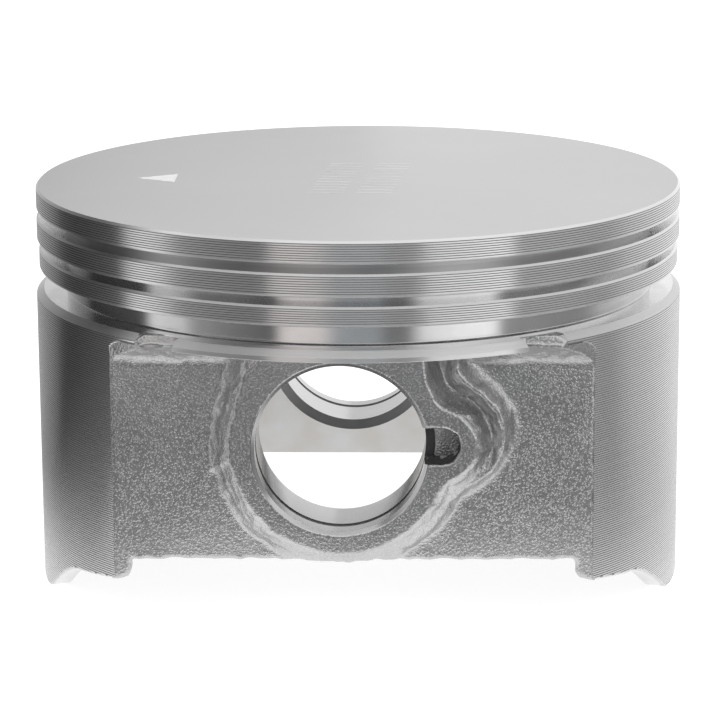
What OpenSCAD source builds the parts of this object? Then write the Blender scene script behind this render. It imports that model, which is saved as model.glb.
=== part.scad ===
// Flat-top four-stroke piston, bare: one aluminium casting, kept here as its separate zones.
// Each zone is a closed solid that meets its neighbours face to face.
// Origin: centre of the pin bore. +Z points to the crown, the pin axis is Y, thrust faces are at +X and -X.

/* [Cylinder fit] */
// Cylinder bore that the piston runs in
cylinder_d = 88; // [80:1:96]
// Running gap between skirt and cylinder, on the radius
skirt_gap = 0.03; // [0.02:0.01:0.06]
// Gap of the first and second land, on the radius
land_gap = 0.25; // [0.2:0.05:0.4]
// Gap of the third land, on the radius
third_land_gap = 0.5; // [0.4:0.05:0.6]

/* [Ring belt] */
// Pin centre to crown face
compression_h = 29.1; // [28.5:0.1:31]
// Height of the top land
top_land_h = 3; // [2.5:0.1:3.2]
// Height of the two compression ring grooves
ring_groove_h = 1.2; // [1:0.1:1.5]
// Height of the second land
second_land_h = 3; // [2.6:0.1:3.2]
// Height of the third land
third_land_h = 2.6; // [2.2:0.1:2.8]
// Height of the oil ring groove
oil_groove_h = 3; // [2.8:0.1:3]
// Depth of the ring grooves, measured from the first land
groove_depth = 3.95; // [3.6:0.05:4.2]
// Height of the land below the oil groove
lower_land_h = 1.4; // [1.2:0.1:1.8]
// Height and depth of its chamfer
lower_chamfer = [0.8, 1]; // [0.5:0.1:1]
// Edge break on the crown and on the lands
edge_break = 0.25; // [0.1:0.05:0.4]

/* [Casting walls] */
// Thickness of the crown
crown_t = 6.5; // [5:0.5:7]
// Wall behind the ring grooves
belt_wall = 4; // [3:0.5:5]
// Wall of the skirts
skirt_wall = 2.4; // [2:0.1:3]
// Outer face of the side panels, from the middle plane
panel_y = 31; // [30:0.5:32]
// Wall of the side panels
panel_wall = 3; // [2.5:0.5:4]
// Lower edge of the side panels, below the pin axis
panel_bottom = 15.7; // [15:0.1:16.5]
// Height of the cast web under the ring belt, at the side panel
web_h = 2.4; // [1.5:0.1:3]

/* [Skirts] */
// Lowest edge of the skirts, below the pin axis
skirt_bottom = 25.3; // [23:0.1:28]
// Lower edge of the skirt beside the panels, below the pin axis
skirt_corner_bottom = 18.5; // [17.5:0.1:19]
// Half width of the low part of the skirt
skirt_low_half = 11; // [10:1:16]
// Half width at which the steep part of the lower edge ends
skirt_arch_half = 25; // [22:1:28]
// Lower edge there, below the pin axis
skirt_arch_bottom = 19.4; // [19:0.1:20]
// Half width of the lower land between the corner notches
lower_land_half = 22.5; // [20:0.5:24]
// Half width at which the skirt starts beside the corner notch
notch_outer_half = 27.6; // [26:0.2:28.4]
// Half width of the panels at their lower edge
panel_half = 28.9; // [28:0.1:29.5]
// Height of the turned skirt band that runs on above the panels
skirt_band_h = 1.7; // [1.4:0.1:3]

/* [Pin boss] */
// Diameter of the pin bore
pin_d = 22; // [18:0.5:23]
// Distance from the piston axis to the pin axis
pin_offset = 1.5; // [0:0.5:2]
// Chamfer at the outer mouth of the bore
bore_chamfer = 0.4; // [0.2:0.1:0.5]
// Chamfer at the inner mouth of the bore
inner_chamfer = 1; // [0.3:0.1:1.5]
// Outer face of the bosses, from the middle plane
boss_y = 34.6; // [34:0.2:36]
// Inner face of the bosses, from the middle plane
boss_inner_y = 22.2; // [20:0.2:24]
// Radius of the raised round boss
boss_r = 15.9; // [15.6:0.1:17]
// Chamfer round the boss face
boss_chamfer = 1.6; // [0.5:0.1:2]
// Half width of the boss pillar
pillar_half = 16.5; // [16:0.5:18]
// Distance of the circlip groove from the boss face
clip_groove_in = 2.8; // [2:0.2:4]
// Width and depth of the circlip groove
clip_groove = [1.3, 0.75]; // [0.6:0.05:1.5]
// Pick slot: width, reach from the pin axis, depth, height above the pin axis
pick_slot = [4.8, 15.4, 5, 0.5]; // [0:0.1:16]
// Cast lobe round the pick slot: radius, distance from the pin axis, height above it, height over the panel
lobe = [7, 14.3, 2.2, 2.6]; // [2:0.1:15]

/* [Crown mark] */
// Arrow: length, width, distance of its tip from the piston axis, depth
arrow = [5.2, 6.2, 30, 0.1]; // [0.1:0.1:30]

/* [Hidden] */
$fn = 96;

skirt_r = cylinder_d / 2 - skirt_gap;
land_r = cylinder_d / 2 - land_gap;
third_land_r = cylinder_d / 2 - third_land_gap;
groove_r = land_r - groove_depth;
core_inner_r = groove_r - belt_wall;
skirt_inner_r = skirt_r - skirt_wall;

top_land_z = compression_h - top_land_h;
second_land_top = top_land_z - ring_groove_h;
second_land_z = second_land_top - second_land_h;
third_land_top = second_land_z - ring_groove_h;
third_land_z = third_land_top - third_land_h;
base_top = third_land_z - oil_groove_h;
base_z = base_top - lower_land_h;
band_z = base_top - skirt_band_h;
deck_z = compression_h - crown_t;

panel_inner_y = panel_y - panel_wall;
reach = cylinder_d;
arch_steps = 10;
turned = "gainsboro";
cast_skin = "darkgray";

// Places its children on the piston's own axis, which the pin is offset from.
module on_axis() {
    translate([pin_offset, 0, 0]) children();
}

// Turns the front version of a zone into the rear one.
module rear() {
    mirror([0, 1, 0]) children();
}

// Plain ring on the piston axis.
module ring(r_out, r_in, z_low, z_high) {
    translate([0, 0, z_low]) difference() {
        cylinder(r = r_out, h = z_high - z_low);
        translate([0, 0, -1]) cylinder(r = r_in, h = z_high - z_low + 2);
    }
}

// Turned land with both outer edges broken.
module land(r_out, z_low, z_high) {
    rotate_extrude() polygon([
        [groove_r, z_low],
        [r_out - edge_break, z_low],
        [r_out, z_low + edge_break],
        [r_out, z_high - edge_break],
        [r_out - edge_break, z_high],
        [groove_r, z_high]
    ]);
}

// Ring with the chamfered edge that the skirt tops and the lower land share.
module chamfered_wall(z_low) {
    rotate_extrude() polygon([
        [skirt_inner_r, z_low],
        [skirt_r, z_low],
        [skirt_r, base_top - lower_chamfer[0]],
        [skirt_r - lower_chamfer[1], base_top],
        [skirt_inner_r, base_top]
    ]);
}

// Block on the front side between two x values, two distances from the middle plane and two heights.
module front_block(x_range, y_range, z_range) {
    translate([x_range[0], -y_range[1], z_range[0]])
        cube([x_range[1] - x_range[0], y_range[1] - y_range[0], z_range[1] - z_range[0]]);
}

// Cylinder along the pin axis, between two distances from the middle plane on the front side.
module pin_cylinder(r, y_near, y_far) {
    translate([0, -y_near, 0]) rotate([90, 0, 0]) cylinder(r = r, h = y_far - y_near);
}

// Height of the skirt's lower edge at a distance from the middle plane: a smooth S-curve.
function skirt_edge(y) =
    -skirt_bottom + (skirt_bottom - skirt_arch_bottom)
    * (1 - cos(180 * (y - skirt_low_half) / (skirt_arch_half - skirt_low_half))) / 2;

function arch_side(side) = [
    for (i = [0 : arch_steps])
        let (y = skirt_low_half + (skirt_arch_half - skirt_low_half) * i / arch_steps)
        [side * y, skirt_edge(y)]
];

function reversed(points) = [for (i = [len(points) - 1 : -1 : 0]) points[i]];

// Side view of a skirt: lower edge with its two S-curves, cut off at the panel planes.
module skirt_outline() {
    polygon(concat(
        [[-panel_y, band_z], [-panel_y, -skirt_corner_bottom]],
        reversed(arch_side(-1)),
        arch_side(1),
        [[panel_y, -skirt_corner_bottom], [panel_y, band_z]]
    ));
}

// One skirt shell on the +X side of the piston axis.
module skirt_shell() {
    difference() {
        intersection() {
            ring(skirt_r, skirt_inner_r, -skirt_bottom, band_z);
            translate([panel_half - 12, 0, 0]) rotate([90, 0, 90])
                linear_extrude(height = reach) skirt_outline();
        }
        // Inside the panels' lower edge the shell stops, so the corner tabs stand free.
        translate([0, -reach / 2, -skirt_bottom - 1])
            cube([panel_half, reach, skirt_bottom + 1 - panel_bottom]);
    }
    // The band above the panels runs on to the corner notches.
    intersection() {
        chamfered_wall(band_z);
        translate([notch_outer_half, -reach / 2, band_z]) cube([reach, reach, base_top]);
    }
}

module thrust_skirt() {
    color(turned) on_axis() skirt_shell();
}

module anti_thrust_skirt() {
    color(turned) on_axis() mirror([1, 0, 0]) skirt_shell();
}

// Arrow outline in the crown plane, tip towards -X.
module arrow_outline() {
    translate([-arrow[2], 0]) polygon([
        [0, 0],
        [arrow[0], arrow[1] / 2],
        [arrow[0] * 0.85, 0],
        [arrow[0], -arrow[1] / 2]
    ]);
}

module crown_deck() {
    color(turned) on_axis() difference() {
        translate([0, 0, deck_z]) cylinder(r = groove_r, h = crown_t);
        translate([0, 0, compression_h - arrow[3]]) linear_extrude(height = 1) arrow_outline();
    }
}

module top_land() {
    color(turned) on_axis() land(land_r, top_land_z, compression_h);
}

module second_land() {
    color(turned) on_axis() land(land_r, second_land_z, second_land_top);
}

module third_land() {
    color(turned) on_axis() land(third_land_r, third_land_z, third_land_top);
}

// Wall behind the second ring groove and the oil groove.
module belt_core() {
    color(turned) on_axis() ring(groove_r, core_inner_r, base_top, deck_z);
}

// Foot of the ring belt, which carries the lower land and the skirts.
module belt_base() {
    color(cast_skin) on_axis() ring(skirt_inner_r, core_inner_r, base_z, base_top);
}

module lower_land() {
    on_axis() intersection() {
        chamfered_wall(base_z);
        front_block([-lower_land_half, lower_land_half], [0, reach], [base_z - 1, base_top + 1]);
    }
}

module front_lower_land() {
    color(turned) lower_land();
}

module rear_lower_land() {
    color(turned) rear() lower_land();
}

// Solid casting behind the ring belt, above the panels.
module belt_backing() {
    on_axis() intersection() {
        translate([0, 0, base_z]) cylinder(r = core_inner_r, h = deck_z - base_z);
        front_block([-reach, reach], [panel_inner_y, reach], [base_z, deck_z]);
    }
}

module front_belt_backing() {
    color(cast_skin) belt_backing();
}

module rear_belt_backing() {
    color(cast_skin) rear() belt_backing();
}

// Panel between boss pillar and skirt, on the -X or the +X side of the front.
module panel(side) {
    x_range = side < 0 ? [-reach, -pillar_half] : [pillar_half, reach];
    intersection() {
        on_axis() translate([0, 0, -panel_bottom])
            cylinder(r = skirt_inner_r, h = panel_bottom + base_z);
        front_block(x_range, [panel_inner_y, panel_y], [-panel_bottom, base_z]);
    }
}

module front_left_panel() {
    color(cast_skin) panel(-1);
}

module front_right_panel() {
    color(cast_skin) panel(1);
}

module rear_left_panel() {
    color(cast_skin) rear() panel(-1);
}

module rear_right_panel() {
    color(cast_skin) rear() panel(1);
}

// Slot that lets a pick reach behind the circlip.
module pick_cut() {
    slot_x = pick_slot[1] - pick_slot[0] / 2;
    translate([slot_x, 0, pick_slot[3]])
        pin_cylinder(pick_slot[0] / 2, boss_y - pick_slot[2], boss_y + 1);
    translate([0, 0, pick_slot[3]])
        front_block([0, slot_x], [boss_y - pick_slot[2], boss_y + 1], [-pick_slot[0] / 2, pick_slot[0] / 2]);
}

// Raised round boss face, cut flat at the panels' lower edge and at the underside of the ring belt.
module boss_face() {
    intersection() {
        translate([0, -panel_y, 0]) rotate([90, 0, 0]) rotate_extrude() polygon([
            [0, 0],
            [boss_r, 0],
            [boss_r, boss_y - panel_y - boss_chamfer],
            [boss_r - boss_chamfer, boss_y - panel_y],
            [0, boss_y - panel_y]
        ]);
        front_block([-boss_r, boss_r], [0, reach], [-panel_bottom, base_z]);
    }
}

// Cones that break the outer and the inner mouth of a boss's bore.
module mouth_chamfers() {
    translate([0, -boss_y, 0]) rotate([90, 0, 0])
        translate([0, 0, -bore_chamfer])
        cylinder(r1 = pin_d / 2, r2 = pin_d / 2 + 2 * bore_chamfer, h = 2 * bore_chamfer);
    translate([0, -boss_inner_y, 0]) rotate([90, 0, 0])
        translate([0, 0, -inner_chamfer])
        cylinder(r1 = pin_d / 2 + 2 * inner_chamfer, r2 = pin_d / 2, h = 2 * inner_chamfer);
}

// Pin boss: raised round face, square pillar up to the crown, bore, circlip groove and pick slot.
module boss() {
    groove_y = boss_y - clip_groove_in;
    difference() {
        union() {
            boss_face();
            front_block([-pillar_half, pillar_half], [boss_inner_y, panel_y], [-panel_bottom, base_z]);
            front_block([-pillar_half, pillar_half], [boss_inner_y, panel_inner_y], [base_z, deck_z]);
        }
        pin_cylinder(pin_d / 2, boss_inner_y - 1, boss_y + 1);
        pin_cylinder(pin_d / 2 + clip_groove[1], groove_y - clip_groove[0], groove_y);
        mouth_chamfers();
        pick_cut();
    }
}

module front_boss() {
    color(cast_skin) boss();
}

module rear_boss() {
    color(cast_skin) rear() boss();
}

// Raised cast lobe outside the round boss, round the pick slot.
module pick_lobe() {
    difference() {
        translate([lobe[1], 0, lobe[2]]) pin_cylinder(lobe[0], panel_y, panel_y + lobe[3]);
        pin_cylinder(boss_r, panel_y - 1, boss_y);
    }
}

module front_pick_lobe() {
    color(cast_skin) pick_lobe();
}

module rear_pick_lobe() {
    color(cast_skin) rear() pick_lobe();
}

// Cast web that carries the overhanging ring belt on the panels, open for the round boss.
module belt_web() {
    difference() {
        intersection() {
            on_axis() translate([0, 0, base_z - web_h]) cylinder(r = skirt_inner_r, h = web_h);
            translate([pin_offset - notch_outer_half, 0, 0]) rotate([90, 0, 90])
                linear_extrude(height = 2 * notch_outer_half) polygon([
                    [-panel_y, base_z - web_h],
                    [-panel_y, base_z],
                    [-skirt_inner_r, base_z]
                ]);
        }
        pin_cylinder(boss_r, panel_y - 1, boss_y);
    }
}

module front_belt_web() {
    color(cast_skin) belt_web();
}

module rear_belt_web() {
    color(cast_skin) rear() belt_web();
}

crown_deck();
top_land();
second_land();
third_land();
belt_core();
belt_base();
front_lower_land();
rear_lower_land();
front_belt_backing();
rear_belt_backing();
thrust_skirt();
anti_thrust_skirt();
front_left_panel();
front_right_panel();
rear_left_panel();
rear_right_panel();
front_boss();
rear_boss();
front_pick_lobe();
rear_pick_lobe();
front_belt_web();
rear_belt_web();
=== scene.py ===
"""Visual model of a bare flat-top piston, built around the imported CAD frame.

Lengths are millimetres in the row frame, whose origin is the centre of the pin bore. They become metres in
make_piece().
"""

import math

import bmesh
import bpy
import numpy as np
from mathutils import Matrix, Vector


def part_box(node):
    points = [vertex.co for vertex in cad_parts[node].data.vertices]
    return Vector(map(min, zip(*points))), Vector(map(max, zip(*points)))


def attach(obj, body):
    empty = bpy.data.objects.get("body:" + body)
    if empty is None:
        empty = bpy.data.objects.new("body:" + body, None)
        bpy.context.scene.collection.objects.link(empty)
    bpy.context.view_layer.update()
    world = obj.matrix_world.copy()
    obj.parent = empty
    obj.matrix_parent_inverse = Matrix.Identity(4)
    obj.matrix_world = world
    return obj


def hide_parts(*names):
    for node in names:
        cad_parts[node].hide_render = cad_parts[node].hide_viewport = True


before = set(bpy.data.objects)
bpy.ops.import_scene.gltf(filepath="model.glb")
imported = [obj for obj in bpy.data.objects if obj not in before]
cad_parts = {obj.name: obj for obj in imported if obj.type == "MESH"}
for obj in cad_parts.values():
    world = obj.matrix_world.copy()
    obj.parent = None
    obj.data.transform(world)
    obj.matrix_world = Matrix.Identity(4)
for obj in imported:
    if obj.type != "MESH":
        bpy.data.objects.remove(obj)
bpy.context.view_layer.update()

MM = 0.001


# ---------------------------------------------------------------- sizes from the frame

def low_high(node):
    """Lowest and highest corner of a CAD node, in millimetres."""
    low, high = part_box(node)
    return low / MM, high / MM


top_low, top_high = low_high("top_land")
second_low, second_high = low_high("second_land")
third_low, third_high = low_high("third_land")
deck_low = low_high("crown_deck")[0]
core_low, core_high = low_high("belt_core")
base_low, base_high = low_high("belt_base")
skirt_low, skirt_high = low_high("thrust_skirt")
panel_low, panel_high = low_high("front_right_panel")
boss_low, boss_high = low_high("front_boss")

AXIS_X = (top_low.x + top_high.x) / 2          # the piston's own axis, beside the pin axis
CROWN_Z = top_high.z
LAND_R = (top_high.x - top_low.x) / 2
THIRD_R = (third_high.x - third_low.x) / 2
GROOVE_R = (core_high.x - core_low.x) / 2
BASE_R = (base_high.x - base_low.x) / 2        # inner radius of the skirts
SKIRT_R = skirt_high.x - AXIS_X
DECK_Z = deck_low.z
BASE_TOP = base_high.z
BASE_Z = base_low.z
PANEL_Y = -panel_low.y
PANEL_INNER_Y = -panel_high.y
PANEL_BOTTOM = panel_low.z
BOSS_Y = -boss_low.y
BOSS_INNER_Y = -boss_high.y
SKIRT_BOTTOM = skirt_low.z

# Sizes that the frame's boxes don't give; they repeat the design's values.
CORE_INNER_R = GROOVE_R - 4.0
SKIRT_CORNER_BOTTOM = -18.5
SKIRT_ARCH_BOTTOM = -19.4
SKIRT_LOW_HALF = 11.0
SKIRT_ARCH_HALF = 25.0
LOWER_LAND_HALF = 22.5
NOTCH_HALF = 27.6
TAB_HALF = 28.9
BAND_H = 1.7
BAND_Z = BASE_TOP - BAND_H
BAND_CORNER_ANGLE = 0.055                      # the band's lower corner, in radians round the axis
SKIRT_EDGE_ROUND = 0.5
CHAMFER_Z = 0.8
CHAMFER_R = 1.0
PIN_R = 11.0
PIN_CHAMFER = 0.4
WEB_H = 2.4
INNER_MOUTH = 1.16
CLIP_GROOVE = (2.8, 1.3, 0.75)                 # distance in from the boss face, width, depth
BOSS_FACE_R = 13.6
EAR_X = 12.9
EAR_R = 4.4
NOTCH_WALL_Y = 34.2
SLOT_R = 2.4
SLOT_START_X = 8
SLOT_END_X = 13.0
SLOT_Z = 0.5
SLOT_FLOOR_Y = BOSS_Y - 5.0
PILLAR_HALF = 16.5
SHELL_STEP = 0.3                               # cast surface in front of the skirt's inner wall
SHELL_DEPTH = 1.0                              # how far the shell reaches into the skirt's wall
CAST_CLEARANCE = 0.06                          # cast surfaces stay this far inside the turned ones
MARK_DEPTH = 0.05                              # how far the etched marks reach into the crown

THREAD_PITCH = 0.3
THREAD_DEPTH = 0.03
THREAD_CREST = 0.6                             # share of the pitch that is flat


# ---------------------------------------------------------------- mesh helpers

def make_piece(name, verts, faces, material, slot, *nodes, sharp=30.0):
    """Makes a closed mesh from millimetre points, shades it and puts it in the frame."""
    mesh = bpy.data.meshes.new(name)
    mesh.from_pydata((np.asarray(verts) * MM).tolist(), [], [list(f) for f in faces])
    bm = bmesh.new()
    bm.from_mesh(mesh)
    bmesh.ops.remove_doubles(bm, verts=bm.verts, dist=1e-7)
    bmesh.ops.dissolve_degenerate(bm, edges=bm.edges, dist=1e-7)
    bmesh.ops.recalc_face_normals(bm, faces=bm.faces)
    bm.to_mesh(mesh)
    bm.free()
    mesh.shade_smooth()
    mesh.set_sharp_from_angle(angle=math.radians(sharp))
    mesh.materials.append(material)
    obj = bpy.data.objects.new(name, mesh)
    bpy.context.scene.collection.objects.link(obj)
    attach(obj, "root")
    if nodes:
        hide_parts(*nodes)
    return obj


def lathe(profile, segments=720, start=0.0, sweep=2 * math.pi):
    """Turns a closed outline of (radius, height) points round the piston's axis."""
    full = sweep > 2 * math.pi - 1e-6
    columns = segments if full else segments + 1
    angles = start + sweep * np.arange(columns) / segments
    outline = np.array(profile, float)
    count = len(outline)
    x = AXIS_X + np.outer(np.cos(angles), outline[:, 0])
    y = np.outer(np.sin(angles), outline[:, 0])
    z = np.tile(outline[:, 1], (columns, 1))
    verts = np.stack([x, y, z], axis=2).reshape(-1, 3)
    faces = []
    for a in range(segments):
        b = (a + 1) % columns
        for i in range(count):
            j = (i + 1) % count
            faces.append((a * count + i, b * count + i, b * count + j, a * count + j))
    if not full:
        faces.append(tuple(range(count)))
        faces.append(tuple((columns - 1) * count + i for i in range(count)))
    return verts, faces


def thread(radius, z_low, z_high):
    """Turned surface between two heights: flat crests with a fine V groove between each two."""
    turns = max(1, round((z_high - z_low) / THREAD_PITCH))
    pitch = (z_high - z_low) / turns
    points = [(radius, z_low)]
    for i in range(turns):
        z = z_low + i * pitch
        crest = THREAD_CREST * pitch
        points += [(radius, z + crest), (radius - THREAD_DEPTH, z + (crest + pitch) / 2), (radius, z + pitch)]
    return points


def paint(obj, material, chosen):
    """Gives a second material to the faces whose centre (in millimetres) and normal fit."""
    obj.data.materials.append(material)
    index = len(obj.data.materials) - 1
    for polygon in obj.data.polygons:
        if chosen(polygon.center / MM, polygon.normal):
            polygon.material_index = index


def paint_turned(obj, radius, z_low, z_high):
    """Painted shade: darker metal colour on the flanks of the V grooves, plain bright metal on the flat
    flanks.
    """
    def in_valley(p, n):
        depth = radius - math.hypot(p.x - AXIS_X, p.y)
        return 0.3 * THREAD_DEPTH < depth < THREAD_DEPTH and abs(n.z) > 0.2 and z_low < p.z < z_high
    paint(obj, valley_shade_metal, in_valley)
    paint(obj, wall_metal, lambda p, n: abs(n.z) > 0.9)


def smooth_min(a, b, k):
    h = np.clip(0.5 + 0.5 * (b - a) / k, 0, 1)
    return b + (a - b) * h - k * h * (1 - h)


def smooth_max(a, b, k):
    return -smooth_min(-a, -b, k)


def smooth_step(t):
    t = np.clip(t, 0, 1)
    return t * t * (3 - 2 * t)


def noise(points, size, seed):
    """Smooth value noise from -1 to 1 with features of one size, the same at each run."""
    table = np.random.default_rng(seed).uniform(-1, 1, (32, 32, 32))
    p = np.asarray(points) / size
    cell = np.floor(p).astype(int)
    t = p - cell
    t = t * t * (3 - 2 * t)
    total = 0
    for corner in np.ndindex(2, 2, 2):
        index = (cell + corner) % 32
        weight = np.prod(np.where(corner, t, 1 - t), axis=1)
        total = total + weight * table[index[:, 0], index[:, 1], index[:, 2]]
    return total


def gradient(field, p, h=0.02):
    parts = []
    for axis in range(3):
        step = np.zeros(3)
        step[axis] = h
        ahead, behind = p + step, p - step
        parts.append((field(*ahead.T) - field(*behind.T)) / (2 * h))
    return np.stack(parts, axis=1)


def field_surface(field, low, high, step):
    """Closed quad surface where field is zero (surface nets), with its points pulled onto the field."""
    axes = [np.arange(a, b + step, step) for a, b in zip(low, high)]
    grid = np.meshgrid(*axes, indexing="ij")
    value = field(*grid).astype(np.float32)
    inside = value < 0
    shape = np.array(value.shape)
    corners = list(np.ndindex(2, 2, 2))
    count = sum(
        inside[c[0]:shape[0] - 1 + c[0], c[1]:shape[1] - 1 + c[1], c[2]:shape[2] - 1 + c[2]].astype(int)
        for c in corners
    )
    cells = np.argwhere((count > 0) & (count < 8))
    number = -np.ones(shape - 1, dtype=int)
    number[tuple(cells.T)] = np.arange(len(cells))
    at = np.array([value[tuple((cells + c).T)] for c in corners])
    total = np.zeros((len(cells), 3))
    hits = np.zeros(len(cells))
    for a, ca in enumerate(corners):
        for b, cb in enumerate(corners):
            if b > a and sum(abs(np.subtract(ca, cb))) == 1:
                crossing = (at[a] < 0) != (at[b] < 0)
                t = at[a] / np.where(crossing, at[a] - at[b], 1)
                point = np.array(ca) + t[:, None] * np.subtract(cb, ca)
                total += np.where(crossing[:, None], point, 0)
                hits += crossing
    verts = np.array(low) + (cells + total / hits[:, None]) * step
    faces = []
    for axis in range(3):
        u, v = (axis + 1) % 3, (axis + 2) % 3
        head = [slice(None)] * 3
        tail = [slice(None)] * 3
        head[axis], tail[axis] = slice(0, -1), slice(1, None)
        change = inside[tuple(head)] != inside[tuple(tail)]
        nodes = np.argwhere(change)
        keep = (nodes[:, u] > 0) & (nodes[:, v] > 0)
        keep &= (nodes[:, u] < shape[u] - 1) & (nodes[:, v] < shape[v] - 1)
        nodes = nodes[keep]
        ring = []
        for du, dv in ((0, 0), (1, 0), (1, 1), (0, 1)):
            index = nodes.copy()
            index[:, u] -= du
            index[:, v] -= dv
            ring.append(number[tuple(index.T)])
        faces.append(np.stack(ring, axis=1))
    faces = np.concatenate(faces)
    for _ in range(3):
        slope = gradient(field, verts)
        size = np.maximum((slope ** 2).sum(axis=1), 0.05)
        move = -(field(*verts.T) / size)[:, None] * slope
        length = np.linalg.norm(move, axis=1, keepdims=True)
        verts = verts + move * np.minimum(1, 0.4 * step / np.maximum(length, 1e-9))
    return verts, faces


# ---------------------------------------------------------------- materials

def node_material(name):
    material = bpy.data.materials.new(name)
    material.use_nodes = True
    tree = material.node_tree
    shader = tree.nodes["Principled BSDF"]
    return material, tree, shader


def add(tree, kind, **values):
    """Adds a shader node and sets its properties and input values by name."""
    made = tree.nodes.new(kind)
    for key, value in values.items():
        if key in made.inputs:
            made.inputs[key].default_value = value
        else:
            setattr(made, key, value)
    return made


def ramp(tree, source, stops):
    made = tree.nodes.new("ShaderNodeValToRGB")
    elements = made.color_ramp.elements
    while len(elements) > 1:
        elements.remove(elements[-1])
    for i, (position, colour) in enumerate(stops):
        element = elements[0] if i == 0 else elements.new(position)
        element.position = position
        element.color = (*colour, 1) if len(colour) == 3 else colour
    tree.links.new(source, made.inputs["Fac"])
    return made


def grey(v, tint=(1, 1, 1)):
    return tuple(v * t for t in tint)


def turned_metal(name, colour, roughness, stretch, streak=0.03):
    """Machined aluminium: tool marks run round the part, so its gloss is spread up and down."""
    material, tree, shader = node_material(name)
    where = add(tree, "ShaderNodeTexCoord")
    squash = add(tree, "ShaderNodeMapping", vector_type="POINT")
    squash.inputs["Scale"].default_value = (60, 60, 9000)
    tree.links.new(where.outputs["Object"], squash.inputs["Vector"])
    streaks = add(tree, "ShaderNodeTexNoise", Scale=1.0, Detail=3.0)
    tree.links.new(squash.outputs["Vector"], streaks.inputs["Vector"])
    tone = ramp(tree, streaks.outputs["Fac"], [
        (0.3, grey(colour - streak)), (0.7, grey(colour + streak))])
    tree.links.new(tone.outputs["Color"], shader.inputs["Base Color"])
    upright = add(tree, "ShaderNodeCombineXYZ", Z=1.0)
    tree.links.new(upright.outputs["Vector"], shader.inputs["Tangent"])
    shader.inputs["Roughness"].default_value = roughness
    shader.inputs["Anisotropic"].default_value = stretch
    shader.inputs["Metallic"].default_value = 1.0
    return material


def plain_metal(name, colour, roughness, mottle=0.03, tint=(1, 1, 1)):
    """Smooth machined aluminium with a faint mottle."""
    material, tree, shader = node_material(name)
    where = add(tree, "ShaderNodeTexCoord")
    cloud = add(tree, "ShaderNodeTexNoise", Scale=220.0, Detail=4.0)
    tree.links.new(where.outputs["Object"], cloud.inputs["Vector"])
    tone = ramp(tree, cloud.outputs["Fac"], [
        (0.35, grey(colour - mottle, tint)), (0.65, grey(colour + mottle))])
    tree.links.new(tone.outputs["Color"], shader.inputs["Base Color"])
    shader.inputs["Roughness"].default_value = roughness
    shader.inputs["Metallic"].default_value = 1.0
    return material


def faced_metal():
    """Crown face: satin, with concentric facing marks too fine to see one by one."""
    material, tree, shader = node_material("faced_crown")
    where = add(tree, "ShaderNodeTexCoord")
    centre = add(tree, "ShaderNodeMapping")
    centre.inputs["Location"].default_value = (-AXIS_X * MM, 0, 0)
    tree.links.new(where.outputs["Object"], centre.inputs["Vector"])
    rings = add(
        tree, "ShaderNodeTexWave", wave_type="RINGS", rings_direction="Z", Scale=1200.0, Distortion=0.4)
    rings.inputs["Detail"].default_value = 2.0
    tree.links.new(centre.outputs["Vector"], rings.inputs["Vector"])
    patches = add(tree, "ShaderNodeTexNoise", Scale=25.0, Detail=4.0)
    tree.links.new(where.outputs["Object"], patches.inputs["Vector"])
    tone = ramp(tree, patches.outputs["Fac"], [(0.3, grey(0.57)), (0.7, grey(0.60))])
    tree.links.new(tone.outputs["Color"], shader.inputs["Base Color"])
    bump = add(tree, "ShaderNodeBump", Strength=0.25)
    bump.inputs["Distance"].default_value = 0.00002
    tree.links.new(rings.outputs["Fac"], bump.inputs["Height"])
    tree.links.new(bump.outputs["Normal"], shader.inputs["Normal"])
    shader.inputs["Metallic"].default_value = 1.0
    shader.inputs["Roughness"].default_value = 0.38
    return material


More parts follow.
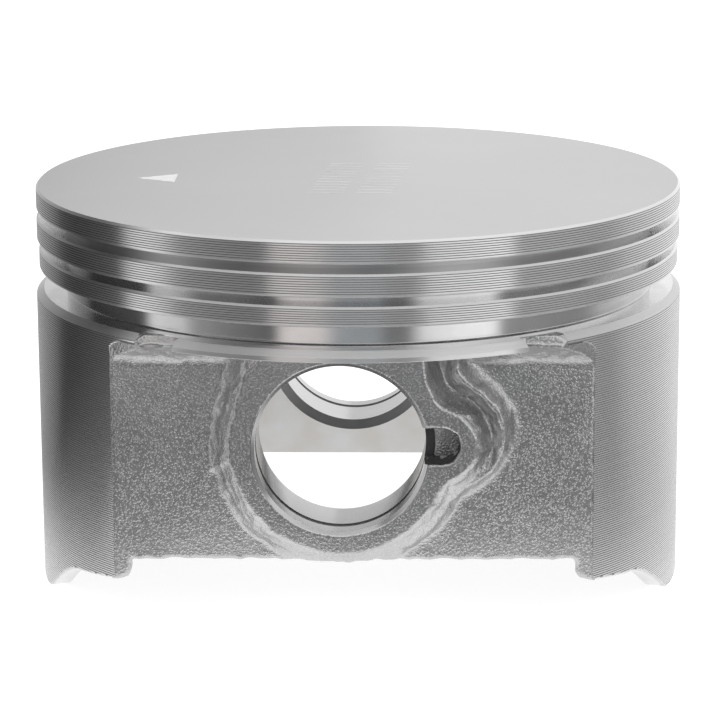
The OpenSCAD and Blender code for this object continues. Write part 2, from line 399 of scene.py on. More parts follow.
def cast_metal():
    """As-cast skin: mid grey with small domed grains whose flanks catch the light."""
    material, tree, shader = node_material("cast_skin")
    where = add(tree, "ShaderNodeTexCoord")
    ripple = add(tree, "ShaderNodeTexNoise", Scale=3000.0, Detail=2.0)
    tree.links.new(where.outputs["Object"], ripple.inputs["Vector"])
    shift = add(tree, "ShaderNodeVectorMath", operation="SCALE")
    shift.inputs["Scale"].default_value = 0.00035
    tree.links.new(ripple.outputs["Color"], shift.inputs[0])
    bent = add(tree, "ShaderNodeVectorMath", operation="ADD")
    tree.links.new(where.outputs["Object"], bent.inputs[0])
    tree.links.new(shift.outputs["Vector"], bent.inputs[1])
    grains = add(tree, "ShaderNodeTexVoronoi", feature="SMOOTH_F1", Scale=3700.0)
    tree.links.new(bent.outputs["Vector"], grains.inputs["Vector"])
    domes = add(tree, "ShaderNodeMapRange", interpolation_type="SMOOTHSTEP")
    domes.inputs["From Min"].default_value = 0.5
    domes.inputs["From Max"].default_value = 0.05
    tree.links.new(grains.outputs["Distance"], domes.inputs["Value"])
    lumps = add(tree, "ShaderNodeTexNoise", Scale=2600.0, Detail=3.0)
    tree.links.new(where.outputs["Object"], lumps.inputs["Vector"])
    shade = add(tree, "ShaderNodeTexNoise", Scale=120.0, Detail=3.0)
    tree.links.new(where.outputs["Object"], shade.inputs["Vector"])
    tone = ramp(tree, shade.outputs["Fac"], [(0.3, grey(0.57)), (0.7, grey(0.67))])
    # Painted shade: the base colour is darker in the hollows between the grains than on their tops.
    depth = ramp(tree, domes.outputs["Result"], [(0.0, grey(0.84)), (0.6, grey(0.97)), (1.0, grey(1.0))])
    skin = add(tree, "ShaderNodeMix", data_type="RGBA", blend_type="MULTIPLY")
    skin.inputs[0].default_value = 1.0
    tree.links.new(tone.outputs["Color"], skin.inputs[6])
    tree.links.new(depth.outputs["Color"], skin.inputs[7])
    tree.links.new(skin.outputs[2], shader.inputs["Base Color"])
    coarse = add(tree, "ShaderNodeBump", Strength=1.0)
    coarse.inputs["Distance"].default_value = 0.000035
    tree.links.new(lumps.outputs["Fac"], coarse.inputs["Height"])
    fine = add(tree, "ShaderNodeBump", Strength=1.0)
    fine.inputs["Distance"].default_value = 0.000034
    # The flat boss faces are smoother than the panels.
    split = add(tree, "ShaderNodeSeparateXYZ")
    tree.links.new(where.outputs["Object"], split.inputs["Vector"])
    side = add(tree, "ShaderNodeMath", operation="ABSOLUTE")
    tree.links.new(split.outputs["Y"], side.inputs[0])
    calm = add(tree, "ShaderNodeMapRange")
    calm.inputs["From Min"].default_value = (BOSS_Y - 0.4) * MM
    calm.inputs["From Max"].default_value = (BOSS_Y - 0.1) * MM
    calm.inputs["To Min"].default_value = 1.0
    calm.inputs["To Max"].default_value = 0.75
    tree.links.new(side.outputs[0], calm.inputs["Value"])
    height = add(tree, "ShaderNodeMath", operation="MULTIPLY")
    tree.links.new(domes.outputs["Result"], height.inputs[0])
    tree.links.new(calm.outputs["Result"], height.inputs[1])
    tree.links.new(height.outputs[0], fine.inputs["Height"])
    tree.links.new(coarse.outputs["Normal"], fine.inputs["Normal"])
    tree.links.new(fine.outputs["Normal"], shader.inputs["Normal"])
    shader.inputs["Metallic"].default_value = 1.0
    shader.inputs["Roughness"].default_value = 0.3
    return material


def etched_metal():
    """Laser-etched mark: matte white with a fine grain."""
    material, tree, shader = node_material("etched_mark")
    where = add(tree, "ShaderNodeTexCoord")
    speckle = add(tree, "ShaderNodeTexNoise", Scale=3000.0, Detail=2.0)
    tree.links.new(where.outputs["Object"], speckle.inputs["Vector"])
    tone = ramp(tree, speckle.outputs["Fac"], [(0.3, grey(0.82)), (0.7, grey(0.95))])
    tree.links.new(tone.outputs["Color"], shader.inputs["Base Color"])
    shader.inputs["Metallic"].default_value = 0.3
    shader.inputs["Roughness"].default_value = 0.8
    return material


land_metal = turned_metal("turned_land", 0.82, 0.30, 1.0)
wall_metal = plain_metal("groove_flank", 0.80, 0.13)
groove_metal = plain_metal("groove_floor", 0.64, 0.15)
chamfer_metal = turned_metal("turned_chamfer", 0.92, 0.50, 1.0)
skirt_metal = turned_metal("turned_skirt", 0.80, 0.28, 1.0)
register_metal = plain_metal("turned_register", 0.40, 0.45)
# The dark colour in the thread valleys is painted shade.
valley_shade_metal = turned_metal("thread_valley_shade", 0.24, 0.4, 0.5, 0.02)
bore_metal = plain_metal("honed_bore", 0.56, 0.2, 0.01)
mouth_metal = plain_metal("bore_mouth", 0.78, 0.5, 0.02)
milled_metal = plain_metal("milled_face", 0.72, 0.42, 0.03, (1, 0.97, 0.93))
# Painted shade for the inside of the deep pick slot.
slot_shade_metal = plain_metal("slot_painted_shade", 0.17, 0.85, 0.05)
crown_metal = faced_metal()
cast_skin = cast_metal()
etched = etched_metal()
hatch_metal = plain_metal("etched_hatch", 0.70, 0.5, 0.05)


# ---------------------------------------------------------------- crown and ring belt

def land_outline(radius, z_low, z_high, top_break):
    """Outline of a ring land: rounded lower edge, threaded wall, broken top edge."""
    outline = [(GROOVE_R, z_low), (radius - 0.18, z_low), (radius - 0.07, z_low + 0.08)]
    outline += thread(radius, z_low + 0.25, z_high - top_break)
    return outline + [(radius - top_break, z_high), (GROOVE_R, z_high)]


def crown_pieces():
    verts, faces = lathe([(0, DECK_Z), (GROOVE_R, DECK_Z), (GROOVE_R, CROWN_Z), (0, CROWN_Z)])
    make_piece("crown_deck_face", verts, faces, crown_metal, "faced_crown", "crown_deck")
    for name, node, radius, low, high, top_break in (
        ("top_land_ring", "top_land", LAND_R, top_low.z, CROWN_Z, 0.32),
        ("second_land_ring", "second_land", LAND_R, second_low.z, second_high.z, 0.28),
        ("third_land_ring", "third_land", THIRD_R, third_low.z, third_high.z, 0.28),
    ):
        verts, faces = lathe(land_outline(radius, low, high, top_break))
        ring = make_piece(name, verts, faces, land_metal, "turned_land", node, sharp=9)
        paint_turned(ring, radius, low + 0.2, high - top_break + 0.05)
        if node == "top_land":
            paint(ring, crown_metal, lambda p, n: n.z > 0.99 and p.z > CROWN_Z - 0.01)


def belt_pieces():
    corner = 0.25
    outline = [(CORE_INNER_R + 1, BASE_TOP), (GROOVE_R + corner, BASE_TOP)]
    for i in range(1, 5):
        angle = math.radians(90 * i / 5)
        outline.append((
            GROOVE_R + corner - corner * math.sin(angle),
            BASE_TOP + corner - corner * math.cos(angle),
        ))
    outline += [(GROOVE_R, BASE_TOP + corner), (GROOVE_R, DECK_Z), (CORE_INNER_R + 1, DECK_Z)]
    verts, faces = lathe(outline)
    make_piece("groove_wall", verts, faces, groove_metal, "groove_floor", "belt_core")
    flank = 0.2
    outline = [
        (CORE_INNER_R + 1, BASE_TOP - flank), (BASE_R - 0.02, BASE_TOP - flank),
        (BASE_R, BASE_TOP - flank + 0.02), (BASE_R, BASE_TOP), (CORE_INNER_R + 1, BASE_TOP),
    ]
    verts, faces = lathe(outline)
    make_piece("oil_groove_flank", verts, faces, wall_metal, "groove_floor")


def chamfered_top():
    """Outline points of the chamfer that skirts and lower lands share, from outside to inside."""
    return [(SKIRT_R, BASE_TOP - CHAMFER_Z), (SKIRT_R - CHAMFER_R, BASE_TOP)]


def on_chamfer(p, n):
    return p.z > BASE_TOP - CHAMFER_Z and 0.5 < n.z < 0.95


def lower_lands():
    half_angle = math.asin(LOWER_LAND_HALF / SKIRT_R)
    edge = 0.06
    outline = [(BASE_R, BASE_Z), (SKIRT_R - edge, BASE_Z), (SKIRT_R, BASE_Z + edge)]
    outline += chamfered_top() + [(BASE_R, BASE_TOP)]
    for name, node, middle in (
        ("front_lower_land_arc", "front_lower_land", -math.pi / 2),
        ("rear_lower_land_arc", "rear_lower_land", math.pi / 2),
    ):
        verts, faces = lathe(outline, 240, middle - half_angle, 2 * half_angle)
        arc = make_piece(name, verts, faces, land_metal, "turned_land", node)
        paint(arc, chamfer_metal, on_chamfer)


# ---------------------------------------------------------------- skirts

def skirt_edge(y):
    """Height of the skirt's lower edge at a distance from the middle plane: S-curve, then a gentle rise."""
    t = np.clip((np.abs(y) - SKIRT_LOW_HALF) / (SKIRT_ARCH_HALF - SKIRT_LOW_HALF), 0, 1)
    rise = np.clip((np.abs(y) - SKIRT_ARCH_HALF) / (PANEL_Y - SKIRT_ARCH_HALF), 0, 1)
    arch = (SKIRT_ARCH_BOTTOM - SKIRT_BOTTOM) * (1 - np.cos(np.pi * t)) / 2
    return SKIRT_BOTTOM + arch + (SKIRT_CORNER_BOTTOM - SKIRT_ARCH_BOTTOM) * rise


def skirt_pieces():
    panel_angle = math.asin((PANEL_Y - 0.02) / SKIRT_R)
    band_angle = math.acos(NOTCH_HALF / SKIRT_R)
    half = np.concatenate([
        np.linspace(0, panel_angle, 70),
        panel_angle + (band_angle - panel_angle) * np.linspace(0.001, 1, 16),
    ])
    angles = np.concatenate([-half[:0:-1], half])
    beyond = np.clip((np.abs(angles) - panel_angle) / BAND_CORNER_ANGLE, 0, 1)
    corner = BAND_Z - BAND_H * (1 - np.sqrt(1 - (1 - beyond) ** 2))
    edge = np.where(np.abs(angles) <= panel_angle + 1e-9, skirt_edge(SKIRT_R * np.sin(angles)), corner)
    outer = thread(SKIRT_R, SKIRT_BOTTOM, BASE_TOP - CHAMFER_Z) + [(SKIRT_R - CHAMFER_R, BASE_TOP)]
    outer = np.array(outer)
    height = np.maximum(outer[None, :, 1], edge[:, None])
    radius = np.where(outer[None, :, 1] < edge[:, None], SKIRT_R, outer[None, :, 0])
    # The lower edge is rounded.
    into = np.clip(1 - (height - edge[:, None]) / SKIRT_EDGE_ROUND, 0, 1)
    radius = radius - SKIRT_EDGE_ROUND * (1 - np.sqrt(1 - into ** 2))
    rows = len(outer) + 2
    radius = np.hstack([radius, np.full((len(angles), 2), BASE_R)])
    height = np.hstack([height, np.full((len(angles), 1), BASE_TOP), edge[:, None]])
    for side, name, node in (
        (1, "thrust_skirt_face", "thrust_skirt"),
        (-1, "anti_thrust_skirt_face", "anti_thrust_skirt"),
    ):
        x = AXIS_X + side * radius * np.cos(angles)[:, None]
        y = radius * np.sin(angles)[:, None]
        verts = np.stack([x, y, height], axis=2).reshape(-1, 3)
        faces = []
        for a in range(len(angles) - 1):
            for i in range(rows):
                j = (i + 1) % rows
                p, q = a * rows, (a + 1) * rows
                faces.append((p + i, q + i, q + j, p + j))
        last = (len(angles) - 1) * rows
        faces += [tuple(range(rows)), tuple(last + i for i in range(rows))]
        skirt = make_piece(name, verts, faces, skirt_metal, "turned_skirt", node, sharp=9)
        paint_turned(skirt, SKIRT_R, SKIRT_BOTTOM, BASE_TOP - CHAMFER_Z)
        paint(skirt, register_metal, lambda p, n: math.hypot(p.x - AXIS_X, p.y) < BASE_R + 0.05)
        paint(skirt, chamfer_metal, on_chamfer)


# ---------------------------------------------------------------- cast side walls and bosses

def boss_plateau(x, z):
    """Distance outside the flat boss face, with the ear round the pick slot."""
    round_face = np.hypot(x, z) - BOSS_FACE_R
    pillar = np.maximum(np.maximum(x - 10.6, -12.9 + 0.12 * z - x), -z)
    ear = np.hypot(x - EAR_X, z - SLOT_Z) - EAR_R
    return smooth_min(smooth_min(round_face, pillar, 2.0), ear, 1.6)


def wall_height(x, z):
    """Height of the cast relief over the side panel: boss, valley and the bead round the pick slot."""
    away = boss_plateau(x, z)
    turn = np.degrees(np.arctan2(z - 0.5, x - 6.0))
    on_right = smooth_step((turn + 95) / 30) * smooth_step((60 - turn) / 12)
    upper = smooth_step((turn + 40) / 60) * smooth_step((x - 2) / 6)
    boss = (BOSS_Y - PANEL_Y) * (1 - smooth_step(away / (3.6 - 1.3 * upper)))
    bead_at = 2.5 + 1.5 * upper
    bead_wide = 0.7 + 0.4 * upper
    bead = (0.7 + 1.6 * upper) * np.exp(-((away - bead_at) / bead_wide) ** 2) * on_right
    seam = 0.12 * np.exp(-((np.hypot(x, z) - 15.6) / 0.22) ** 2) * smooth_step((-x - 4) / 4)
    return boss + bead + seam


def cast_limit(z):
    """Largest radius of a cast surface beside the skirts and their chamfer."""
    return SKIRT_R - CAST_CLEARANCE - CHAMFER_R / CHAMFER_Z * np.maximum(z - (BASE_TOP - CHAMFER_Z), 0)


def side_wall(x, f, z):
    """Negative inside the casting of one side wall; f is the distance from the middle plane."""
    across = np.abs(x - AXIS_X)
    r_axis = np.hypot(x - AXIS_X, f)
    r_pin = np.hypot(x, z)
    panel = (f - PANEL_Y - wall_height(x, z)) * 0.75
    # Sloped web under the ring belt, and the belt's own wall, which stands back in the corner notches.
    web = smooth_max((BASE_Z - WEB_H + 0.62 * (f - PANEL_Y) - z) * 0.85, z - BASE_Z - 0.1, 0.3)
    notch_wall = f - NOTCH_WALL_Y - 0.25 * (BASE_TOP - z)
    in_notch = (across > LOWER_LAND_HALF - 0.3) & (across < NOTCH_HALF + 0.3)
    belt = smooth_max(np.where(in_notch, notch_wall, r_axis - (BASE_R - 0.1)), BASE_Z - 0.1 - z, 0.3)
    wall = smooth_min(panel, smooth_min(web, belt, 0.3), 1.0)
    tab = smooth_max((TAB_HALF - across) * 0.8, SKIRT_CORNER_BOTTOM + 0.1 - z, 1.6)
    wall = smooth_max(wall, smooth_min(PANEL_BOTTOM - z, tab, 0.8), 0.5)
    wall = np.maximum(wall, z - (BASE_TOP - 0.05))
    wall = np.maximum(wall, (r_axis - cast_limit(z)) * 0.7)
    wall = np.maximum(wall, PIN_R + PIN_CHAMFER + 0.03 - r_pin)
    slot = np.hypot(x - np.clip(x, SLOT_START_X, SLOT_END_X), z - SLOT_Z) - SLOT_R
    wall = smooth_max(wall, -np.maximum(slot, SLOT_FLOOR_Y - f), 0.3)
    return np.maximum(wall, PANEL_INNER_Y + 0.4 - f)


def in_slot(p, n):
    out = math.hypot(p.x - min(max(p.x, SLOT_START_X), SLOT_END_X), p.z - SLOT_Z)
    return out < SLOT_R + 0.1 and abs(p.y) < BOSS_Y - 0.35 and p.x > PIN_R - 0.5


def cast_grain(verts, field):
    """Small lumps along the normal: strong on slopes and beads, weak on flat faces and round the bore."""
    slope = gradient(field, verts)
    normal = slope / np.maximum(np.linalg.norm(slope, axis=1, keepdims=True), 1e-6)
    lumps = noise(verts, 2.2, 10) * 0.12 + noise(verts, 1.1, 11) * 0.12 + noise(verts, 0.5, 12) * 0.05
    slanted = 1 - np.abs(normal[:, 1]) ** 8
    near_bore = smooth_step((np.hypot(verts[:, 0], verts[:, 2]) - PIN_R - 0.3) / 1.2)
    verts = verts + normal * (lumps * (0.08 + slanted) * near_bore)[:, None]
    # Nothing comes through the turned surfaces.
    x, y, z = verts.T
    pull = np.minimum(1, cast_limit(z) / np.maximum(np.hypot(x - AXIS_X, y), 1))
    return np.stack([AXIS_X + (x - AXIS_X) * pull, y * pull, np.minimum(z, BASE_TOP - 0.05)], axis=1)


def side_wall_pieces():
    low = (AXIS_X - 31.6, PANEL_INNER_Y, SKIRT_CORNER_BOTTOM - 0.4)
    high = (AXIS_X + 31.6, 41.9, BASE_TOP + 0.4)
    step = 0.2
    verts, faces = field_surface(side_wall, low, high, step)
    verts = cast_grain(verts, side_wall)
    sides = (
        (-1, "front_side_casting", [
            "front_left_panel", "front_right_panel", "front_boss", "front_pick_lobe", "front_belt_web"]),
        (1, "rear_side_casting", [
            "rear_left_panel", "rear_right_panel", "rear_boss", "rear_pick_lobe", "rear_belt_web"]),
    )
    for side, name, nodes in sides:
        piece = make_piece(name, verts * (1, side, 1), faces, cast_skin, "cast_skin", *nodes, sharp=50)
        # The pick slot's faces get a dark colour: painted shade for the deep slot.
        paint(piece, slot_shade_metal, in_slot)


def bore_pieces():
    """Honed bore walls with circlip groove, chamfers and the opening of the pick slot."""
    in_y, groove_w, groove_d = CLIP_GROOVE
    back_r = 12.9
    groove_out = BOSS_Y - in_y
    mouth = INNER_MOUTH
    outline = [
        (back_r, BOSS_Y - 0.35), (PIN_R + PIN_CHAMFER + 0.02, BOSS_Y - 0.01), (PIN_R, BOSS_Y - PIN_CHAMFER),
        (PIN_R, groove_out), (PIN_R + groove_d, groove_out),
        (PIN_R + groove_d, groove_out - groove_w), (PIN_R, groove_out - groove_w),
    ]
    outline += [(PIN_R, BOSS_INNER_Y + mouth), (PIN_R + mouth, BOSS_INNER_Y), (back_r, BOSS_INNER_Y + 0.3)]
    segments = 360
    angles = 2 * math.pi * np.arange(segments) / segments
    r, f = np.array(outline).T
    for side, name in ((-1, "front_pin_bore"), (1, "rear_pin_bore")):
        x = np.outer(np.cos(angles), r)
        z = np.outer(np.sin(angles), r)
        y = np.tile(side * f, (segments, 1))
        verts = np.stack([x, y, z], axis=2).reshape(-1, 3)
        count = len(outline)
        faces = []
        for a in range(segments):
            p, q = a * count, ((a + 1) % segments) * count
            for i in range(count):
                j = (i + 1) % count
                faces.append((p + i, q + i, q + j, p + j))
        piece = make_piece(name, verts, faces, bore_metal, "honed_bore")
        cut_slot(piece, side)
        # The bore's cut faces inside the pick slot get the same painted shade.
        paint(piece, slot_shade_metal, lambda p, n: p.x > PIN_R + 0.15 and abs(p.z - SLOT_Z) < SLOT_R + 0.05
              and abs(p.y) > SLOT_FLOOR_Y - 0.5)
        paint(piece, mouth_metal, lambda p, n: BOSS_INNER_Y + 0.1 < abs(p.y) < BOSS_INNER_Y + mouth - 0.1
              and PIN_R + 0.1 < math.hypot(p.x, p.z) < PIN_R + mouth)


def inner_faces():
    """Milled inner faces of the bosses, a plate with the bore's hole."""
    segments = 96
    angles = 2 * math.pi * np.arange(segments) / segments
    hole = PIN_R + INNER_MOUTH
    across, down, up = PILLAR_HALF - 0.6, -PANEL_BOTTOM, 17.0
    reach_x = across / np.maximum(np.abs(np.cos(angles)), 1e-6)
    reach_z = np.where(np.sin(angles) < 0, down, up) / np.maximum(np.abs(np.sin(angles)), 1e-6)
    reach = np.minimum(reach_x, reach_z)
    for side, name in ((-1, "front_boss_inner_face"), (1, "rear_boss_inner_face")):
        verts = []
        for r in (np.full(segments, hole), reach):
            for f in (BOSS_INNER_Y, BOSS_INNER_Y + 0.4):
                verts += [(r[i] * math.cos(t), side * f, r[i] * math.sin(t)) for i, t in enumerate(angles)]
        order = (0, 1, 3, 2)
        faces = []
        for i in range(segments):
            j = (i + 1) % segments
            for k in range(4):
                p, q = order[k] * segments, order[(k + 1) % 4] * segments
                faces.append((p + i, p + j, q + j, q + i))
        make_piece(name, verts, faces, milled_metal, "honed_bore")


def cut_slot(piece, side):
    """Cuts the pick slot's way through the bore wall."""
    bm = bmesh.new()
    for z in (SLOT_Z - SLOT_R, SLOT_Z + SLOT_R):
        for y in (side * (SLOT_FLOOR_Y + 0.1), side * (BOSS_Y + 2)):
            for x in (SLOT_START_X, 20):
                bm.verts.new((x * MM, y * MM, z * MM))
    bmesh.ops.convex_hull(bm, input=bm.verts)
    mesh = bpy.data.meshes.new("slot_cutter")
    bm.to_mesh(mesh)
    bm.free()
    cutter = bpy.data.objects.new("slot_cutter", mesh)
    bpy.context.scene.collection.objects.link(cutter)
    modifier = piece.modifiers.new("slot", "BOOLEAN")
    modifier.operation = "DIFFERENCE"
    modifier.solver = "EXACT"
    modifier.object = cutter
    bpy.context.view_layer.update()
    shape = bpy.data.meshes.new_from_object(piece.evaluated_get(bpy.context.evaluated_depsgraph_get()))
    piece.modifiers.clear()
    # The boolean leaves the new edges smooth, so they are marked again.
    shape.set_sharp_from_angle(angle=math.radians(30))
    piece.data = shape
    bpy.data.objects.remove(cutter)


# ---------------------------------------------------------------- inside of the casting

def inner_wall(x, y, z):
    """Negative inside the casting seen from below: deck, belt, side walls and boss pillars."""
    f = np.abs(y)
    r_axis = np.hypot(x - AXIS_X, y)
    r_pin = np.hypot(x, z)
    shell = BASE_R - SHELL_STEP - r_axis
    belt = smooth_max(CORE_INNER_R - r_axis, BASE_Z - 3 - z, 2.0)
    deck = DECK_Z - z
    panel = PANEL_INNER_Y - f
    pillar = smooth_max(BOSS_INNER_Y + 0.15 - f, np.abs(x) - PILLAR_HALF, 1.5)
    solid = smooth_min(smooth_min(shell, belt, 2.0), deck, 3.0)
    solid = smooth_min(smooth_min(solid, panel, 2.5), pillar, 2.5)
    # The shell is over twice as thick as the grid's step: a thinner one comes out with slits.
    outer_r = np.where(z > BASE_TOP - 0.5, GROOVE_R - 0.4, BASE_R + SHELL_DEPTH)
    solid = np.maximum(solid, r_axis - outer_r)
    solid = np.maximum(solid, f - (PANEL_Y - 0.6))
    solid = smooth_max(solid, PANEL_BOTTOM - z, 0.3)
    solid = np.maximum(solid, z - (DECK_Z + 0.8))
    return np.maximum(solid, PIN_R + INNER_MOUTH + 0.05 - r_pin)


def inner_pieces():
    low = (AXIS_X - 43, -PANEL_Y, SKIRT_BOTTOM - 1)
    high = (AXIS_X + 43, PANEL_Y, DECK_Z + 2)
    step = 0.6
    verts, faces = field_surface(inner_wall, low, high, step)
    nodes = ["belt_base", "front_belt_backing", "rear_belt_backing"]
    make_piece("inner_casting", verts, faces, cast_skin, "cast_skin", *nodes, sharp=50)


# ---------------------------------------------------------------- etched marks

def arrow_mark():
    """Arrow towards the -X side of the crown, a filled triangle."""
    tip, base, half, steps, tooth = AXIS_X - 30.0, AXIS_X - 24.8, 2.9, 7, 0.22
    low, high = CROWN_Z - MARK_DEPTH, CROWN_Z + 0.012
    # The long sides are stepped, as the burned lines end.
    side = [
        (tip + (base - tip) * i / steps, half * i / steps + (tooth if i % 2 else 0))
        for i in range(1, steps + 1)
    ]
    outline = [(tip, 0)] + side + [(x, -y) for x, y in reversed(side)]
    verts = [(x, y, z) for z in (low, high) for x, y in outline]
    count = len(outline)
    faces = [tuple(range(count)), tuple(range(count, 2 * count))]
    faces += [(i, (i + 1) % count, count + (i + 1) % count, count + i) for i in range(count)]
    make_piece("crown_arrow", verts, faces, etched, "etched_mark")


def crown_hatch():
    """Two plain hatched fields in the place of the burned text rows, which are left out."""
    lean, half_width, lines, pitch, half_line = math.radians(6), 2.35, 12, 2.0, 0.3
    low, high = CROWN_Z - MARK_DEPTH, CROWN_Z + 0.01
    corners = (
        (-half_width, -half_line), (half_width, -half_line),
        (half_width, half_line), (-half_width, half_line),
    )
    box = [(0, 1, 2, 3), (4, 5, 6, 7), (0, 1, 5, 4), (1, 2, 6, 5), (2, 3, 7, 6), (3, 0, 4, 7)]
    verts, faces = [], []
    for middle in (AXIS_X - 2.9, AXIS_X + 3.6):
        for i in range(lines):
            along = (i - (lines - 1) / 2) * pitch
            start = len(verts)
            for z in (low, high):
                for u, v in corners:
                    t = along + v
                    x = middle + u * math.cos(lean) + t * math.sin(lean)
                    y = t * math.cos(lean) - u * math.sin(lean)
                    verts.append((x, y, z))
            faces += [tuple(start + k for k in face) for face in box]
    make_piece("crown_hatch", verts, faces, hatch_metal, "etched_mark")


crown_pieces()
belt_pieces()
lower_lands()
skirt_pieces()
side_wall_pieces()
bore_pieces()
inner_faces()
inner_pieces()
arrow_mark()
crown_hatch()


# ---------------------------------------------------------------- camera, light and floor

def place_camera():
    """Camera on the front side: distance in millimetres, angles above, to the right and round its axis."""
    distance = 445.7
    elevation, turn, roll = math.radians(13.54), math.radians(1.68), math.radians(0.34)
    target = Vector((AXIS_X + 0.15, 0, 3.56))
    flat = math.cos(elevation)
    back = Vector((math.sin(turn) * flat, -math.cos(turn) * flat, math.sin(elevation)))
    data = bpy.data.cameras.new("camera")
    data.sensor_width = 36
    data.lens = 161.3
    data.clip_start = 0.01
    camera = bpy.data.objects.new("camera", data)
    bpy.context.scene.collection.objects.link(camera)
    forward = -back
    right = forward.cross(Vector((0, 0, 1))).normalized()
    up = right.cross(forward)
    tilt = Matrix.Rotation(roll, 3, forward)
    right, up = tilt @ right, tilt @ up
    facing = Matrix((right, up, back)).transposed().to_4x4()
    camera.matrix_world = Matrix.Translation((target + back * distance) * MM) @ facing
    bpy.context.scene.camera = camera


def make_floor():
    """Plain pale floor just under the lowest point of the skirts."""
    size = 3.0
    mesh = bpy.data.meshes.new("floor")
    z = SKIRT_BOTTOM * MM - 0.00005
    corners = [(-size, -size, z), (size, -size, z), (size, size, z), (-size, size, z)]
    mesh.from_pydata(corners, [], [(0, 1, 2, 3)])
    floor = bpy.data.objects.new("floor", mesh)
    bpy.context.scene.collection.objects.link(floor)
    material, tree, shader = node_material("floor_paper")
    shader.inputs["Base Color"].default_value = (0.4, 0.4, 0.4, 1)
    shader.inputs["Roughness"].default_value = 1.0
    shader.inputs["Specular IOR Level"].default_value = 0.0
    shader.inputs["Emission Color"].default_value = (1, 1, 1, 1)
    shader.inputs["Emission Strength"].default_value = 0.9
    mesh.materials.append(material)


# Studio panels round the object: from and to (degrees to the right of the front), brightness at both ends.
STUDIO_PANELS = [
    (-163, -115, 0.80, 0.20), (-110, -76, 0.04, 0.08), (-72, -59, 0.95, 0.78), (-53, -25, 0.36, 0.12),
    (-22, -10, 0.95, 0.85), (-4, 8, 0.44, 0.44), (12, 18, 0.22, 0.24), (23, 47, 1.00, 1.35),
    (50, 85, 0.35, 0.31), (96, 119, 0.60, 0.90), (130, 165, 1.00, 1.05),
]
PANEL_TINTS = {-22: (1.0, 0.94, 0.92), -4: (0.90, 0.96, 1.0)}
KEY_PANEL = (22, 48.5)


def panel_stops():
    stops = []
    for start, end, first, last in STUDIO_PANELS:
        tint = PANEL_TINTS.get(start, (1, 1, 1))
        stops += [((start + 180) / 360, grey(first, tint)), ((end + 180) / 360, grey(last, tint))]
    return stops


def tent_mesh():
    """Bowl round the object, higher at the back and lower in front."""
    table_r, radius, high, segments = 50 * MM, 130 * MM, 62 * MM, 180
    ground = (SKIRT_BOTTOM + 0.3) * MM
    rings = [(table_r, ground), (radius, ground), (radius, high)]
    verts = []
    for r, z in rings:
        for i in range(segments):
            a = 2 * math.pi * i / segments
            rise = (90 * max(0.0, -math.cos(a)) - 22 * max(0.0, math.cos(a))) * MM if z == high else 0
            verts.append((r * math.cos(a), r * math.sin(a), z + rise))
    faces = []
    for row in range(len(rings) - 1):
        for i in range(segments):
            j = (i + 1) % segments
            p, q = row * segments, (row + 1) * segments
            faces.append((p + i, p + j, q + j, q + i))
    mesh = bpy.data.meshes.new("light_tent")
    mesh.from_pydata(verts, [], faces)
    return mesh


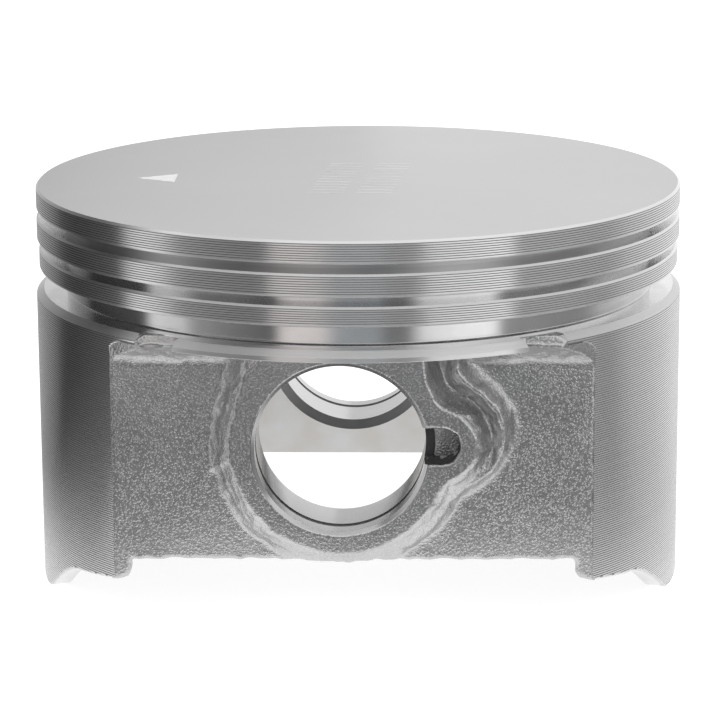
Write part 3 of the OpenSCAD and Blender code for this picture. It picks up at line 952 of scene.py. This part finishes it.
def tent_material():
    """Brightness of the tent: panels by direction, white table near the object, dark table in front."""
    material = bpy.data.materials.new("tent_panels")
    material.use_nodes = True
    tree = material.node_tree
    tree.nodes.clear()
    where = add(tree, "ShaderNodeTexCoord")
    split = add(tree, "ShaderNodeSeparateXYZ")
    tree.links.new(where.outputs["Object"], split.inputs["Vector"])
    flip = add(tree, "ShaderNodeMath", operation="MULTIPLY")
    flip.inputs[1].default_value = -1.0
    tree.links.new(split.outputs["Y"], flip.inputs[0])
    angle = add(tree, "ShaderNodeMath", operation="ARCTAN2")
    tree.links.new(split.outputs["X"], angle.inputs[0])
    tree.links.new(flip.outputs[0], angle.inputs[1])
    share = add(tree, "ShaderNodeMapRange")
    share.inputs["From Min"].default_value = -math.pi
    share.inputs["From Max"].default_value = math.pi
    tree.links.new(angle.outputs[0], share.inputs["Value"])
    colour = ramp(tree, share.outputs["Result"], panel_stops())
    flat = add(tree, "ShaderNodeVectorMath", operation="MULTIPLY")
    flat.inputs[1].default_value = (1, 1, 0)
    tree.links.new(where.outputs["Object"], flat.inputs[0])
    reach = add(tree, "ShaderNodeVectorMath", operation="LENGTH")
    tree.links.new(flat.outputs["Vector"], reach.inputs[0])
    fade = add(tree, "ShaderNodeMapRange", interpolation_type="SMOOTHSTEP")
    fade.inputs["From Min"].default_value = 52 * MM
    fade.inputs["From Max"].default_value = 88 * MM
    tree.links.new(reach.outputs["Value"], fade.inputs["Value"])
    blend = add(tree, "ShaderNodeMix", data_type="RGBA")
    blend.inputs[6].default_value = (1.05, 1.05, 1.05, 1)
    tree.links.new(fade.outputs["Result"], blend.inputs[0])
    tree.links.new(colour.outputs["Color"], blend.inputs[7])
    # The front of the table beyond the white sheet is darker than the panels above it.
    front = add(tree, "ShaderNodeMapRange", interpolation_type="SMOOTHSTEP")
    front.inputs["From Min"].default_value = 0.35
    front.inputs["From Max"].default_value = 0.75
    turned = add(tree, "ShaderNodeMath", operation="DIVIDE")
    tree.links.new(flip.outputs[0], turned.inputs[0])
    tree.links.new(reach.outputs["Value"], turned.inputs[1])
    tree.links.new(turned.outputs[0], front.inputs["Value"])
    low = add(tree, "ShaderNodeMapRange", interpolation_type="SMOOTHSTEP")
    low.inputs["From Min"].default_value = 4 * MM
    low.inputs["From Max"].default_value = -12 * MM
    # The key panel reaches further down than its neighbours.
    after = add(tree, "ShaderNodeMath", operation="GREATER_THAN")
    after.inputs[1].default_value = math.radians(KEY_PANEL[0])
    before = add(tree, "ShaderNodeMath", operation="LESS_THAN")
    before.inputs[1].default_value = math.radians(KEY_PANEL[1])
    for test in (after, before):
        tree.links.new(angle.outputs[0], test.inputs[0])
    key = add(tree, "ShaderNodeMath", operation="MULTIPLY")
    tree.links.new(after.outputs[0], key.inputs[0])
    tree.links.new(before.outputs[0], key.inputs[1])
    level = add(tree, "ShaderNodeMath", operation="MULTIPLY_ADD")
    level.inputs[1].default_value = 12 * MM
    tree.links.new(key.outputs[0], level.inputs[0])
    tree.links.new(split.outputs["Z"], level.inputs[2])
    tree.links.new(level.outputs[0], low.inputs["Value"])
    dark = add(tree, "ShaderNodeMath", operation="MULTIPLY")
    tree.links.new(front.outputs["Result"], dark.inputs[0])
    tree.links.new(low.outputs["Result"], dark.inputs[1])
    beyond = add(tree, "ShaderNodeMath", operation="MULTIPLY")
    tree.links.new(dark.outputs[0], beyond.inputs[0])
    tree.links.new(fade.outputs["Result"], beyond.inputs[1])
    table = add(tree, "ShaderNodeMix", data_type="RGBA")
    table.inputs[7].default_value = (0.17, 0.17, 0.175, 1)
    tree.links.new(beyond.outputs[0], table.inputs[0])
    tree.links.new(blend.outputs[2], table.inputs[6])
    light = add(tree, "ShaderNodeEmission")
    tree.links.new(table.outputs[2], light.inputs["Color"])
    out = add(tree, "ShaderNodeOutputMaterial")
    tree.links.new(light.outputs[0], out.inputs["Surface"])
    return material


def make_tent():
    """Studio panels that are seen only in the object's reflections."""
    mesh = tent_mesh()
    tent = bpy.data.objects.new("light_tent", mesh)
    bpy.context.scene.collection.objects.link(tent)
    tent.visible_camera = False
    tent.visible_shadow = False
    tent.visible_diffuse = False
    mesh.materials.append(tent_material())


def make_world():
    """Even white surroundings, which light the object softly."""
    world = bpy.data.worlds.new("studio")
    bpy.context.scene.world = world
    world.use_nodes = True
    background = world.node_tree.nodes["Background"]
    background.inputs["Color"].default_value = (1, 1, 1, 1)
    background.inputs["Strength"].default_value = 1.0
    bpy.context.scene.view_settings.view_transform = "Standard"


place_camera()
make_floor()
make_tent()
make_world()
